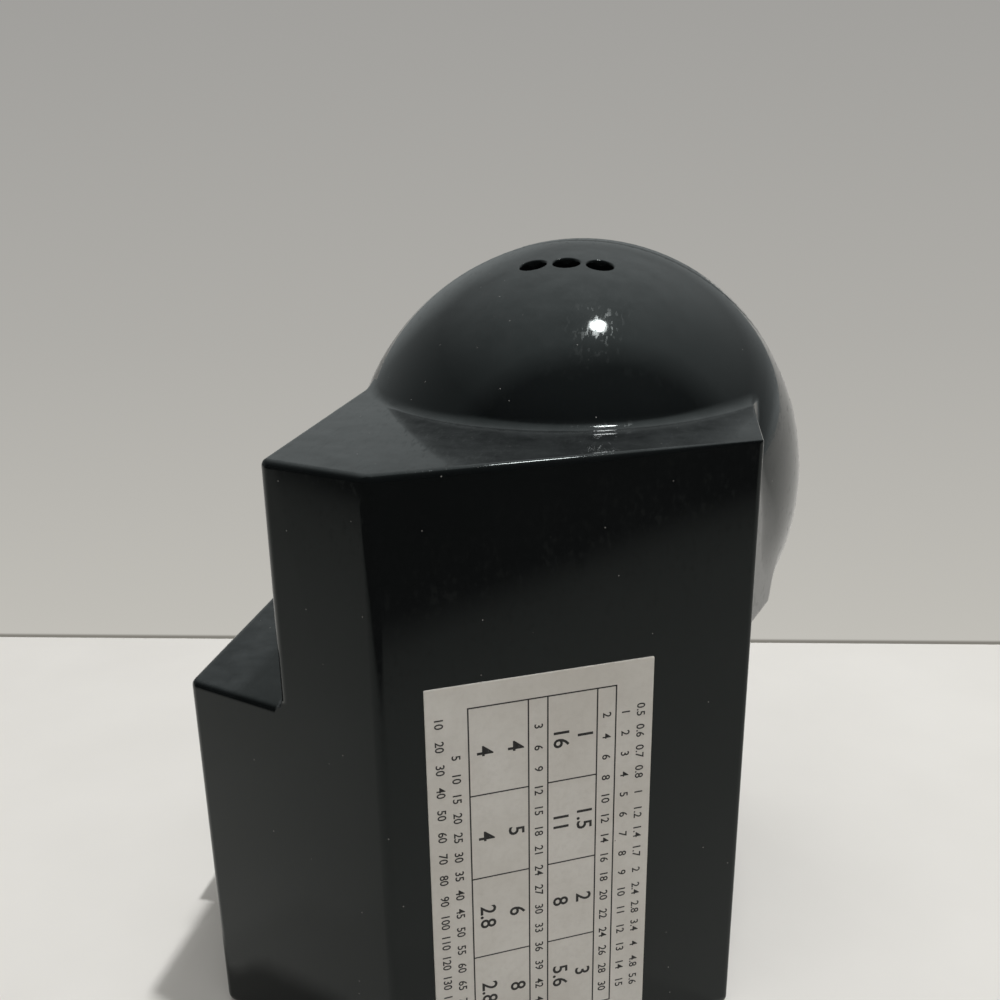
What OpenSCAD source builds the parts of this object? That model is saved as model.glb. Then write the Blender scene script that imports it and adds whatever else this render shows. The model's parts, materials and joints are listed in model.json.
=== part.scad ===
// Fill-in camera flash: a lamp in a round hood, fired by a capacitor, on a two-sided prism housing.
// The light shines towards -Y. The origin lies on the base, under the light's axis.

/* [Housing] */
// Radius of the round reflector hood at the parting face
hood_r = 44.5; // [43:0.5:50]
// Depth of the hood behind the parting face
hood_depth = 61.5; // [56:0.5:68]
// Height of the light's axis above the base
axis_h = 81.5; // [80:0.5:90]
// Height of the flat top face
top_h = 101.5; // [96:0.5:108]
// From the light's axis to the plain side wall
plain_side = 32.8; // [31:0.1:36]
// From the light's axis to the upper wall on the battery side
upper_side = 36.3; // [34:0.1:40]
// From the light's axis to the outer wall of the battery block
block_side = 54; // [53:0.5:60]
// From the light's axis sideways to the ridge between the rear faces
ridge_side = 19.7; // [14:0.1:26]
// Depth of the ridge behind the parting face
ridge_depth = 83; // [79:0.5:92]
// Slant of the rear face that carries the label, in degrees
label_slant = 26.2; // [20:0.1:28]
// Slant of the rear face on the battery side, in degrees
battery_slant = 19.8; // [12:0.1:24]
// Wall thickness of both mouldings
wall = 2.4; // [2:0.1:2.8]
// Radius of the upright outer corners
corner_r = 3; // [2.5:0.5:5]
// Radius of the ridge between the rear faces
ridge_r = 6; // [3:0.5:10]
// Flare of the web between the plain side wall and the hood, in degrees
web_flare = 6.5; // [4:0.1:7]
// Height of the web's lower end on the plain side wall
web_low = 71.5; // [66:0.5:78]
// Depth of the origin behind the parting face
origin_back = 30; // [20:1:40]

/* [Vents] */
// Number of vent holes in the hood
vent_count = 3; // [1:1:5]
// Diameter of a vent hole
vent_d = 4.8; // [3:0.1:5.4]
// Angle between neighbouring vent holes about the light's axis, in degrees
vent_angle = 8.2; // [7.6:0.1:10]
// Depth of the vent row behind the parting face
vent_back = 20.4; // [12:0.1:28]

/* [Front cover] */
// Depth of the front cover
cover_depth = 8; // [7.5:0.1:10]
// Radius of the lower cover corners
cover_corner_r = 4; // [3:0.5:6]
// Radius of the bore that takes the lens ring
ring_bore_r = 35.4; // [34:0.1:36]
// Thickness of the collar round that bore
collar_wall = 3.2; // [2.8:0.1:3.6]
// Radius of a cover screw's shank
cover_screw_r = 1.25; // [1:0.05:1.5]
// Radius of a cover screw's head
cover_head_r = 2.2; // [1.8:0.1:2.4]
// Height of a cover screw's head
cover_head_h = 1.3; // [0.8:0.1:1.6]
// Radius of a screw post
post_r = 2.8; // [2.4:0.1:3]
// Length of the screw posts behind the parting face
post_len = 9; // [6:0.5:11]

/* [Lens ring] */
// Radius of the lens
lens_r = 34; // [33:0.1:34.2]
// Thickness of the lens
lens_t = 2; // [1.5:0.1:2.4]
// Radius of the lens curve
lens_curve_r = 150; // [120:5:200]
// Outer radius of the ring's front flange
ring_flange_r = 38; // [37:0.1:38.4]
// Thickness of the ring's front flange
ring_flange_t = 2.5; // [2:0.1:3]
// Width of the ring's lip in front of the lens
ring_lip = 1.6; // [1:0.1:2]
// Length of the ring's skirt in the cover's bore
skirt_len = 5.9; // [5.6:0.1:6.2]
// Number of bayonet lugs on the ring
lug_count = 3; // [2:1:4]
// Width of a bayonet lug
lug_w = 9; // [6:0.5:12]
// How far a lug stands out of the skirt
lug_h = 1.4; // [1:0.1:1.5]
// Thickness of a lug along the light's axis
lug_t = 1.8; // [1.4:0.1:2]
// Turn that frees the ring, in degrees
ring_turn = 25; // [20:1:35]
// Thickness of the wire clip behind the lens
clip_t = 1; // [0.8:0.1:1.2]

/* [Reflector and lamp] */
// Radius of the reflector bowl at its rim
bowl_r = 35.2; // [33:0.1:35.4]
// Depth of the bowl's full parabola
bowl_depth = 38; // [34:0.5:42]
// Width of the reflector's clamped rim
bowl_lip = 2.4; // [2:0.1:2.6]
// Sheet thickness of the reflector, along the light's axis
bowl_t = 1.2; // [0.8:0.1:1.4]
// Radius of the flat at the back of the bowl
bowl_flat_r = 11; // [10.6:0.1:13]
// Inner radius of the lamp socket's shell
socket_r = 7.6; // [7.2:0.1:8]
// Wall of the socket's shell
socket_wall = 0.8; // [0.6:0.1:1]
// Length of the socket behind the bowl's flat
socket_len = 22.5; // [21:0.5:24]
// Thickness of the socket's front flange
socket_flange_t = 0.9; // [0.6:0.1:1.2]
// Height of the collar nut behind the reflector
collar_nut_h = 4; // [3:0.5:6]
// Radius of the lamp's glass ball
globe_r = 8.5; // [7:0.1:9]
// Radius of the lamp's glass neck
globe_neck_r = 6.2; // [5.4:0.1:6.6]
// Thickness of the lamp's glass
globe_t = 0.6; // [0.5:0.1:0.8]
// Length of the lamp's brass base
lamp_base_len = 15; // [13:0.5:15.5]
// Radius of a bayonet pin on the lamp's base
bayonet_pin_r = 0.9; // [0.7:0.1:1]

/* [Battery and door] */
// Thickness of the battery, across the block
battery_t = 15; // [13:0.5:15.5]
// Depth of the battery, front to back
battery_w = 25.5; // [22:0.5:26]
// Length of the battery, upright
battery_len = 50; // [46:0.5:52]
// Room for a contact above and below the battery
contact_room = 2.4; // [2:0.1:3]
// Thickness of the contact strips
strip_t = 0.6; // [0.4:0.1:0.8]
// Thickness of the door
door_t = 2.4; // [2:0.1:2.6]
// Gap round the door
door_gap = 0.35; // [0.3:0.05:0.5]
// Width of the lip that the latch hooks behind
door_lip = 1.8; // [1.6:0.1:2.2]
// Radius of the hinge knuckles
knuckle_r = 1.9; // [1.8:0.05:2]
// Radius of the hinge pin
pin_r = 0.9; // [0.7:0.05:1]
// Radius of the latch knob
knob_r = 3.9; // [3:0.1:4]
// Height of the latch knob
knob_h = 2.8; // [2:0.1:4]
// Radius of the latch's shaft
latch_shaft_r = 1.6; // [1.2:0.1:1.8]
// Reach of the latch cam from its shaft
cam_reach = 5.6; // [5.4:0.1:5.8]
// Width of the latch cam
cam_w = 3.2; // [2.6:0.1:4]
// Thickness of the latch cam
cam_t = 1.4; // [1:0.1:1.6]

/* [Wiring] */
// Thickness of the terminal board
board_t = 1.6; // [1.2:0.1:2]
// Depth of the terminal board, front to back
board_w = 34; // [32:0.5:36]
// Height of the bosses under the board
boss_h = 1.6; // [1.2:0.1:2]
// Radius of a boss
boss_r = 3; // [2.5:0.1:3.5]
// Radius of a board screw's shank
board_screw_r = 1.15; // [1:0.05:1.3]
// Radius of a board screw's head
board_head_r = 2.2; // [1.8:0.1:2.4]
// Height of a board screw's head
board_head_h = 1.5; // [1:0.1:1.8]
// Radius of the capacitor
capacitor_r = 10; // [8.5:0.5:10.5]
// Length of the capacitor
capacitor_len = 42; // [38:0.5:44]
// Thickness of the capacitor's strap
strap_t = 0.8; // [0.6:0.1:1]
// Width of the capacitor's strap
strap_w = 10; // [8:0.5:12]
// Radius of the charging resistor
resistor_r = 2.4; // [2:0.1:2.6]
// Length of the charging resistor
resistor_len = 11; // [8:0.5:11.5]
// Radius of a lead wire
wire_r = 0.8; // [0.6:0.1:1]
// Height of a solder lug
lug_post_h = 3; // [2:0.5:4]
// Radius of a solder lug
lug_post_r = 1.1; // [1:0.1:1.3]

/* [Shoe foot] */
// Width of the shoe foot
foot_w = 18.6; // [18:0.1:18.7]
// Length of the shoe foot
foot_len = 19; // [17:0.5:20]
// Thickness of the shoe foot
foot_t = 2; // [1.8:0.05:2.1]
// Radius of the threaded stud
stud_r = 3; // [2.5:0.1:3.5]
// Depth of the stud's centre behind the parting face
foot_back = 37; // [36.5:0.5:38]
// Height of the stud's centre above the base
foot_h = 12.5; // [12.2:0.1:14]
// Radius of the stud's collar on the wall
stud_collar_r = 6; // [5:0.1:7]
// Thickness of the stud's collar
stud_collar_t = 1.4; // [1:0.1:2]
// Radius of the lock knob
lock_r = 9.5; // [8.5:0.1:10]
// Thickness of the lock knob
lock_t = 3.6; // [3:0.1:4.5]
// Number of grips round the lock knob
lock_grips = 30; // [20:1:40]
// Depth of the grips
grip_depth = 0.6; // [0.3:0.1:0.8]
// Radius of the clamp washer
washer_r = 8.4; // [7.5:0.1:9]
// Thickness of the clamp washer
washer_t = 1; // [0.8:0.1:1.2]
// Room for the shoe's rails with the knob undone
rail_room = 3.2; // [3:0.1:3.6]
// Width across the flats of the inner nut
nut_flats = 10; // [9:0.5:10.5]
// Thickness of the inner nut
nut_t = 3; // [2.5:0.1:3.5]

/* [Shutter contact] */
// Distance between the two contact pins
sync_pitch = 9; // [8:0.5:10]
// Radius of a contact pin outside its block
sync_pin_r = 1.2; // [1:0.1:1.4]
// Radius of a contact pin inside its block
sync_shank_r = 1.5; // [1.4:0.1:1.8]
// Length of the insulating block
sync_w = 17; // [16:0.5:18]
// Height of the insulating block
sync_h = 7; // [6:0.5:8]
// Thickness of the block's flange inside the wall
sync_flange_t = 1.6; // [1.2:0.1:1.8]
// Width of the block's flange inside the wall
sync_flange = 1.5; // [1:0.1:2]
// How far the pins stand out of the block
sync_out = 3; // [2:0.5:4]
// Height of the pins above the base
sync_z = 31.5; // [29:0.5:34]

/* [Label] */
// From the light's axis to the label's edge towards the ridge
label_from = 13.3; // [11:0.1:14]
// From the light's axis to the label's other edge
label_to = 18.3; // [14:0.1:24]
// Height of the label's upper edge
label_top = 69.6; // [50:0.1:80]
// Height of the label's lower edge
label_bottom = 4; // [3:0.1:12]
// Thickness of the label
label_t = 0.25; // [0.2:0.05:0.5]

/* [Hidden] */
$fn = 64;
// Steps in an upright corner, and in the curves of the hood and bowl
corner_steps = 6;
curve_steps = 18;
// Overlap that lets a cut pass right through
over = 1;
// Gaps: between pieces that turn or slide, round a pin, round a fixed screw, and to a fixed neighbour
run_gap = 0.3;
pin_gap = 0.05;
screw_gap = 0.05;
seat_gap = 0.1;

// Corner rounding and inward offset of an outline that bulges everywhere
function unit(v) = v / norm(v);
function turned(v, a) = [v.x * cos(a) - v.y * sin(a), v.x * sin(a) + v.y * cos(a)];
function before(points, i) = points[(i + len(points) - 1) % len(points)];
function after(points, i) = points[(i + 1) % len(points)];
function half_angle(p, a, b) = acos(unit(a - p) * unit(b - p)) / 2;
function inward(p, a, b, d) = p + unit(unit(a - p) + unit(b - p)) * d / sin(half_angle(p, a, b));
function corner(p, a, b, r) =
    let (
        centre = inward(p, a, b, r),
        reach = r / tan(half_angle(p, a, b)),
        first = p + unit(a - p) * reach - centre,
        last = p + unit(b - p) * reach - centre,
        turn = sign(cross(first, last)) * (180 - 2 * half_angle(p, a, b))
    )
    [for (k = [0:corner_steps]) centre + turned(first, turn * k / corner_steps)];
function rounded(points, radii) = [
    for (i = [0:len(points) - 1])
        each radii[i] > 0 ? corner(points[i], before(points, i), after(points, i), radii[i]) : [points[i]]
];
function inset(points, d) = [
    for (i = [0:len(points) - 1]) inward(points[i], before(points, i), after(points, i), d)
];

// Plan of the housing, front corners first
inner_wall = block_side - wall;
function plan(side, front) = [
    [-plain_side, front],
    [side, front],
    [side, ridge_depth - (side - ridge_side) * tan(battery_slant)],
    [ridge_side, ridge_depth],
    [-plain_side, ridge_depth - (ridge_side + plain_side) * tan(label_slant)]
];

// Web on the plain side wall: it starts in front of the wall's rear corner and runs into the hood,
// and its lower edge falls towards the front
web_front = 12;
web_fall = 0.24;
web_back = ridge_depth - (ridge_side + plain_side) * tan(label_slant) - corner_r;
web_run = web_back - web_front;

// Terminal board on its bosses
board_z = wall + boss_h;
board_top = board_z + board_t;
board_post_gap = 5;
board_wall_gap = 4;
board_front = post_len + board_post_gap;
board_back = board_front + board_w;
board_left = -plain_side + wall + board_wall_gap;
board_right = inner_wall - sync_flange_t;
floor_under_screw = 0.8;
screw_depth = board_z - floor_under_screw;

// Battery upright on the board, and the opening in front of it
battery_room = 0.6;
ceiling_gap = 0.2;
battery_front = 4;
battery_back = battery_front + battery_w;
battery_z = board_top + contact_room;
battery_top = battery_z + battery_len;
block_h = battery_top + contact_room + ceiling_gap + wall;
opening_right = inner_wall - door_lip;
opening_bottom = battery_z - battery_room;
opening_top = battery_top + battery_room;
battery_right = opening_right - battery_room;
battery_left = battery_right - battery_t;
opening_left = battery_left - battery_room;
contact_x = (battery_left + battery_right) / 2;
strip_w = 8;
strip_y = battery_back + seat_gap;
strip_reach = 12;
leaf_ramp = 3;
spot_in = 4;
board_spots = [
    [board_left + spot_in, board_front + spot_in],
    [board_left + spot_in, board_back - spot_in],
    [board_right - spot_in, board_back - spot_in],
    [battery_left - 2 * boss_r, board_front + spot_in]
];

// Door, hinge and latch
cover_front = -cover_depth;
hinge_sink = 1.1;
hinge_x = opening_left - knuckle_r - seat_gap;
hinge_y = cover_front + hinge_sink;
door_right = opening_right - door_gap;
door_bottom = opening_bottom + door_gap;
door_top = opening_top - door_gap;
door_back = cover_front + door_t;
ring_clear_r = ring_flange_r + over;
hinge_reach = hinge_x - knuckle_r - run_gap;
hinge_margin = 2;
hinge_top = axis_h - sqrt(ring_clear_r * ring_clear_r - hinge_reach * hinge_reach) - hinge_margin;
hinge_bottom = door_bottom + 2 * hinge_margin;
knuckle_len = (hinge_top - hinge_bottom - 2 * run_gap) / 3;
middle_bottom = hinge_bottom + knuckle_len + run_gap;
middle_top = middle_bottom + knuckle_len;
latch_x = inner_wall - run_gap - cam_reach;
latch_z = (door_bottom + door_top) / 2;
cam_front = door_back + door_gap;
cam_hub = 1.2;
knob_back = cover_front - run_gap;
knob_grips = 20;
slot_w = 1.2;
slot_depth = 1;

// Front screws: two in the hood's rim and two near the base
upper_screw_r = hood_r - wall - cover_screw_r;
post_sink = 0.4;
lower_screw_z = wall + post_r - post_sink;
post_floor = 1;
cover_spots = [
    [upper_screw_r * cos(45), axis_h + upper_screw_r * sin(45)],
    [-upper_screw_r * cos(45), axis_h + upper_screw_r * sin(45)],
    [-plain_side + wall + post_r - post_sink, lower_screw_z],
    [hinge_x - knuckle_r, lower_screw_z]
];
cover_screw_len = cover_depth + post_len - 2 * post_floor;

// Lens ring along the light's axis
function lens_sag(r) = lens_curve_r - sqrt(lens_curve_r * lens_curve_r - r * r);
lens_gap = 0.2;
ring_back = cover_front - run_gap;
ring_front = ring_back - ring_flange_t;
skirt_r = ring_bore_r - run_gap;
skirt_end = ring_back + skirt_len;
lug_inset = 0.4;
lug_back = skirt_end - lug_inset;
lug_front = lug_back - lug_t;
lug_tip_r = skirt_r + lug_h;
lip_r = lens_r - ring_lip;
lip_back = ring_back + lens_gap;
lens_seat_r = lens_r + seat_gap;
lens_apex = lip_back + lens_gap - lens_sag(lip_r);
lens_back = lens_apex + lens_sag(lens_r) + lens_t;
clip_front = lens_back + lens_gap;
clip_w = 1.4;
clip_cut = 4;
collar_r = ring_bore_r + collar_wall;

// Reflector and lamp along the light's axis
function bowl_y(r) = bowl_depth * (1 - r * r / (bowl_r * bowl_r));
bowl_flange_r = bowl_r + bowl_lip;
flat_y = bowl_y(bowl_flat_r);
flat_back = flat_y + bowl_t;
focus_y = bowl_depth - bowl_r * bowl_r / (4 * bowl_depth);
seat_overlap = 1.2;
seat_depth = 3;
socket_out_r = socket_r + socket_wall;
socket_flange = 2;
socket_rim = 1;
socket_end = flat_y + socket_len;
insulator_t = 2;
insulator_y = socket_end - insulator_t - socket_rim;
lamp_gap = 1;
lamp_y = flat_back + lamp_gap;
lamp_end = lamp_y + lamp_base_len;
lamp_base_r = socket_r - 2 * seat_gap;
lamp_pin_y = flat_back + collar_nut_h + bayonet_pin_r + run_gap;
tip_h = 0.8;
tip_r = 2;
globe_ahead = 1.4;
globe_y = focus_y - globe_ahead;
glass_in = 2;
glass_end = lamp_y + glass_in;
stem_r = 2.2;
stem_len = 4;
stem_front = lamp_y - stem_len;
contact_head_r = 3;
contact_r = 1.5;
contact_tail = 4;
contact_end = socket_end + contact_tail;

// Shoe foot along X
stud_spare = 1.4;
stud_in = inner_wall - nut_t - stud_spare;
stud_collar_end = block_side + stud_collar_t;
lock_x = stud_collar_end + run_gap;
washer_x = lock_x + lock_t + run_gap;
foot_x = washer_x + washer_t + rail_room;
tenon_shoulder = 1;
tenon_r = stud_r - tenon_shoulder;

// Capacitor and resistor on the board
capacitor_x = board_left + 2 * spot_in;
capacitor_y = (board_front + board_back) / 2;
capacitor_z = board_top + capacitor_r + seat_gap;
strap_x = capacitor_x + (capacitor_len - strap_w) / 2;
strap_mid = strap_x + strap_w / 2;
strap_foot = 5;
strap_reach = capacitor_r + seat_gap + strap_t;
strap_hole = strap_reach + strap_foot / 2;
strap_screw_r = 1;
strap_head_r = 1.8;
strap_head_h = 1.2;
lead_r = 0.4;
lead_len = 1.2;
resistor_gap = 1.4;
resistor_lift = 1;
resistor_x = capacitor_x + lead_len;
resistor_y = capacitor_y - capacitor_r - resistor_r - resistor_gap;
resistor_z = board_top + resistor_r + resistor_lift;

// Lead wires: each is a swept tube between a part and a solder lug on the board
wire_sides = 8;
wire_out = 4;
wire_drop = 30;
wire_rise = 16;
sync_tail = 6;
sync_inner = inner_wall - sync_tail;
lug_edge = 2.5;
lug_beyond = 5;
lug_top = board_top + lug_post_h;
lug_spots = [
    [capacitor_x + capacitor_len + lug_beyond, board_back - lug_edge],
    [capacitor_x + lug_edge, board_back - lug_edge],
    [sync_inner - wire_out, foot_back - sync_pitch / 2],
    [sync_inner - wire_out, foot_back + sync_pitch / 2]
];
function over_lug(k, rise) = [lug_spots[k].x, lug_spots[k].y, lug_top + rise];
function sync_wire(k) = [
    [sync_inner, lug_spots[k].y, sync_z],
    [lug_spots[k].x, lug_spots[k].y, sync_z],
    over_lug(k, 0)
];
shell_wire_y = insulator_y - wire_out;
shell_wire_x = -socket_out_r - wire_out;
wire_routes = [
    [
        [0, contact_end, axis_h],
        [0, contact_end + wire_out, axis_h],
        [wire_out, contact_end + wire_out, axis_h - wire_drop],
        over_lug(0, wire_rise),
        over_lug(0, 0)
    ],
    [
        [-socket_out_r, shell_wire_y, axis_h],
        [shell_wire_x, shell_wire_y, axis_h],
        [shell_wire_x, shell_wire_y, axis_h - wire_drop],
        over_lug(1, wire_rise),
        over_lug(1, 0)
    ],
    sync_wire(2),
    sync_wire(3)
];
function heading(points, k) = unit(points[min(k + 1, len(points) - 1)] - points[max(k - 1, 0)]);
function ring(points, k) =
    let (
        way = heading(points, k),
        side = unit(cross(way, [1, 1, 1])),
        rise = cross(side, way)
    )
    [
        for (s = [0:wire_sides - 1])
            let (a = 360 * s / wire_sides)
            points[k] + wire_r * (side * cos(a) + rise * sin(a))
    ];

// Places: about the light's axis with local z to the rear, upright outlines seen from the front,
// and cylinders along X and Y
module on_base() {
    translate([0, -origin_back, 0]) children();
}
module on_axis() {
    translate([0, 0, axis_h]) rotate([-90, 0, 0]) children();
}
module upright(from, to) {
    translate([0, to, 0]) rotate([90, 0, 0]) linear_extrude(to - from) children();
}
module along_y(x, z, from, to, r) {
    translate([x, from, z]) rotate([-90, 0, 0]) cylinder(h = to - from, r = r);
}
module along_x(y, z, from, to, r) {
    translate([from, y, z]) rotate([0, 90, 0]) cylinder(h = to - from, r = r);
}
module along_z(x, y, from, to, r) {
    translate([x, y, from]) cylinder(h = to - from, r = r);
}
module block(low, high) {
    translate(low) cube(high - low);
}
module tube(from, to, inner, outer) {
    difference() {
        translate([0, 0, from]) cylinder(h = to - from, r = outer);
        translate([0, 0, from - over]) cylinder(h = to - from + 2 * over, r = inner);
    }
}
module knurled(r, height, grips, depth) {
    linear_extrude(height)
        polygon([
            for (k = [0:2 * grips - 1])
                let (a = 180 * k / grips)
                (r - depth * (k % 2)) * [cos(a), sin(a)]
        ]);
}

// Rear housing
module prism(side, height) {
    linear_extrude(height) polygon(rounded(plan(side, 0), [0, 0, corner_r, ridge_r, corner_r]));
}
module prism_room(side, height) {
    inner_r = max(corner_r - wall, seat_gap);
    inner_ridge_r = max(ridge_r - wall, seat_gap);
    room = inset(plan(side, -wall - over), wall);
    translate([0, 0, wall])
        linear_extrude(height - 2 * wall)
            polygon(rounded(room, [0, 0, inner_r, inner_ridge_r, inner_r]));
}
module hood(r, depth) {
    curve = [for (k = [0:curve_steps]) let (a = 90 * k / curve_steps) [r * cos(a), depth * sin(a)]];
    on_axis() rotate_extrude() polygon(concat([[0, 0]], curve));
}
module side_web() {
    intersection() {
        linear_extrude(top_h)
            polygon([
                [-plain_side + wall / 2, web_front],
                [-plain_side - web_run * tan(web_flare), web_front],
                [-plain_side, web_back],
                [-plain_side + wall / 2, web_back]
            ]);
        translate([-hood_r, 0, 0]) rotate([90, 0, 90])
            linear_extrude(hood_r)
                polygon([
                    [web_front - over, web_low - (web_run + over) * web_fall],
                    [web_back + over, web_low + over * web_fall],
                    [web_back + over, top_h + over],
                    [web_front - over, top_h + over]
                ]);
    }
}
module housing_room() {
    prism_room(upper_side, top_h);
    prism_room(block_side, block_h);
    hood(hood_r - wall, hood_depth - wall);
    along_y(0, axis_h, -over, over, hood_r - wall);
}
module reflector_seat() {
    intersection() {
        on_axis() tube(bowl_t, bowl_t + seat_depth, bowl_flange_r - seat_overlap, hood_r - wall / 2);
        block([-hood_r, -over, opening_top + over], [hood_r, hood_depth, axis_h + hood_r]);
    }
}
module sync_window(grow) {
    block(
        [inner_wall - over, foot_back - sync_w / 2 - grow, sync_z - sync_h / 2 - grow],
        [block_side + over, foot_back + sync_w / 2 + grow, sync_z + sync_h / 2 + grow]
    );
}
module vents() {
    for (k = [0:vent_count - 1])
        translate([0, vent_back, axis_h])
            rotate([0, vent_angle * (k - (vent_count - 1) / 2), 0])
                translate([0, 0, hood_r / 2]) cylinder(h = hood_r, d = vent_d);
}
module rear_housing() color("#14171a") on_base() difference() {
    union() {
        difference() {
            union() {
                prism(upper_side, top_h);
                prism(block_side, block_h);
                hood(hood_r, hood_depth);
                side_web();
            }
            housing_room();
        }
        reflector_seat();
        for (p = board_spots) along_z(p.x, p.y, wall - over, board_z, boss_r);
        for (p = cover_spots) along_y(p.x, p.y, 0, post_len, post_r);
        for (p = [cover_spots[2], cover_spots[3]])
            block([p.x - post_r, 0, wall - over], [p.x + post_r, post_len, p.y]);
    }
    vents();
    for (p = cover_spots) along_y(p.x, p.y, -over, post_len - post_floor, cover_screw_r + screw_gap);
    for (p = board_spots)
        along_z(p.x, p.y, board_z - screw_depth, board_z + over, board_screw_r + screw_gap);
    along_x(foot_back, foot_h, inner_wall - over, block_side + over, stud_r + screw_gap);
    sync_window(screw_gap);
}

// Exposure label on the wide rear face
module exposure_label() color("#b9b7b0") on_base()
    translate([ridge_side, ridge_depth, 0]) rotate([0, 0, 180 + label_slant])
        block(
            [(ridge_side - label_from) / cos(label_slant), -label_t, label_bottom],
            [(ridge_side + label_to) / cos(label_slant), 0, label_top]
        );

// Front cover
module cover_outline(d) {
    corners = [[-plain_side, 0], [block_side, 0], [block_side, block_h], [-plain_side, block_h]];
    r = max(cover_corner_r - d, seat_gap);
    translate([0, axis_h]) circle(r = hood_r - d);
    polygon(rounded(inset(corners, d), [r, r, r, 0]));
}
module bayonet_paths() {
    on_axis() {
        tube(lug_front - run_gap, lug_back + run_gap, ring_bore_r - over, lug_tip_r + run_gap);
        for (k = [0:lug_count - 1])
            rotate([0, 0, 360 * k / lug_count - ring_turn])
                block(
                    [ring_bore_r - over, -lug_w / 2 - run_gap, cover_front - over],
                    [lug_tip_r + 2 * run_gap, lug_w / 2 + run_gap, lug_back]
                );
    }
}
module front_cover() color("#14171a") on_base() difference() {
    union() {
        difference() {
            upright(cover_front, 0) cover_outline(0);
            upright(cover_front + wall, over) cover_outline(wall);
        }
        on_axis() tube(cover_front, 0, ring_bore_r, collar_r);
        for (p = cover_spots) along_y(p.x, p.y, cover_front, 0, post_r);
        along_z(hinge_x, hinge_y, hinge_bottom, hinge_top, knuckle_r);
    }
    along_y(0, axis_h, cover_front - over, over, ring_bore_r);
    bayonet_paths();
    for (p = cover_spots) along_y(p.x, p.y, cover_front - over, over, cover_screw_r + screw_gap);
    block([opening_left, cover_front - over, opening_bottom], [opening_right, over, opening_top]);
    block(
        [hinge_x - knuckle_r - run_gap, cover_front - knuckle_r, middle_bottom - run_gap],
        [opening_left + over, over, middle_top + run_gap]
    );
    along_z(hinge_x, hinge_y, hinge_bottom - over, hinge_top + over, pin_r + pin_gap);
}
module cover_screws() color("silver") on_base()
    for (p = cover_spots) {
        along_y(p.x, p.y, cover_front - cover_head_h, cover_front, cover_head_r);
        along_y(p.x, p.y, cover_front, cover_front + cover_screw_len, cover_screw_r);
    }

// Twist-off lens ring with its lens and clip
module lens_ring() color("silver") on_base() on_axis() {
    rotate_extrude() polygon([
        [lip_r, ring_front],
        [ring_flange_r, ring_front],
        [ring_flange_r, ring_back],
        [skirt_r, ring_back],
        [skirt_r, skirt_end],
        [lens_seat_r, skirt_end],
        [lens_seat_r, lip_back],
        [lip_r, lip_back]
    ]);
    for (k = [0:lug_count - 1])
        rotate([0, 0, 360 * k / lug_count])
            intersection() {
                tube(lug_front, lug_back, lens_seat_r, lug_tip_r);
                block([0, -lug_w / 2, lug_front - over], [lug_tip_r + over, lug_w / 2, lug_back + over]);
            }
}
module lens() color("#e8eef0") on_base() on_axis() {
    radii = [for (k = [0:curve_steps]) lens_r * k / curve_steps];
    rotate_extrude() polygon(concat(
        [for (r = radii) [r, lens_apex + lens_sag(r)]],
        [for (k = [curve_steps:-1:0]) [radii[k], lens_apex + lens_t + lens_sag(radii[k])]]
    ));
}
module lens_clip() color("silver") on_base() on_axis() difference() {
    tube(clip_front, clip_front + clip_t, lens_r - clip_w, lens_r);
    block([0, -clip_cut / 2, clip_front - over], [lens_r + over, clip_cut / 2, clip_front + clip_t + over]);
}

// Reflector bowl and the lamp in it
module reflector() color("#d8d8d4") on_base() difference() {
    radii = [for (k = [0:curve_steps]) bowl_r - (bowl_r - bowl_flat_r) * k / curve_steps];
    hole_r = socket_out_r + screw_gap;
    on_axis() rotate_extrude() polygon(concat(
        [[bowl_flange_r, 0]],
        [for (r = radii) [r, bowl_y(r)]],
        [[hole_r, flat_y], [hole_r, flat_back]],
        [for (k = [curve_steps:-1:0]) [radii[k], bowl_y(radii[k]) + bowl_t]],
        [[bowl_flange_r, bowl_t]]
    ));
    // A flange that reaches the upper cover posts is notched round them
    for (p = [cover_spots[0], cover_spots[1]]) along_y(p.x, p.y, -over, bowl_t + over, post_r + run_gap);
}
module socket_collar() color("#b08d4a") on_base() on_axis()
    tube(flat_back, flat_back + collar_nut_h, socket_out_r + screw_gap, bowl_flat_r + over);
module lamp_socket() color("#b08d4a") on_base() on_axis() difference() {
    union() {
        tube(flat_y - socket_flange_t, socket_end, socket_r, socket_out_r);
        tube(flat_y - socket_flange_t, flat_y, socket_r, socket_out_r + socket_flange);
    }
    block(
        [-bowl_flat_r, -bayonet_pin_r - run_gap, flat_y - bowl_t],
        [bowl_flat_r, bayonet_pin_r + run_gap, lamp_pin_y + bayonet_pin_r + run_gap]
    );
}
module socket_insulator() color("#5a3a22") on_base() on_axis()
    tube(insulator_y, insulator_y + insulator_t, contact_r + screw_gap, socket_r - seat_gap);
module socket_contact() color("#c9a24b") on_base() on_axis() {
    translate([0, 0, lamp_end + tip_h]) cylinder(h = insulator_y - lamp_end - tip_h, r = contact_head_r);
    translate([0, 0, insulator_y]) cylinder(h = contact_end - insulator_y, r = contact_r);
}
module glass(grow) {
    translate([0, 0, globe_y]) sphere(r = globe_r - grow);
    neck_end = glass_end + (grow > 0 ? over : 0);
    translate([0, 0, globe_y]) cylinder(h = neck_end - globe_y, r = globe_neck_r - grow);
}
module lamp_globe() color("#f2f4f4") on_base() on_axis() difference() {
    glass(0);
    glass(globe_t);
}
module lamp_filament() color("#9a9a9a") on_base() on_axis() {
    translate([0, 0, stem_front]) cylinder(h = glass_end - stem_front, r = stem_r);
    for (side = [-1, 1])
        translate([side * stem_r / 2, 0, focus_y]) cylinder(h = stem_front - focus_y + over, r = lead_r);
    translate([-stem_r, 0, focus_y]) rotate([0, 90, 0]) cylinder(h = 2 * stem_r, r = lead_r);
}
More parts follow.
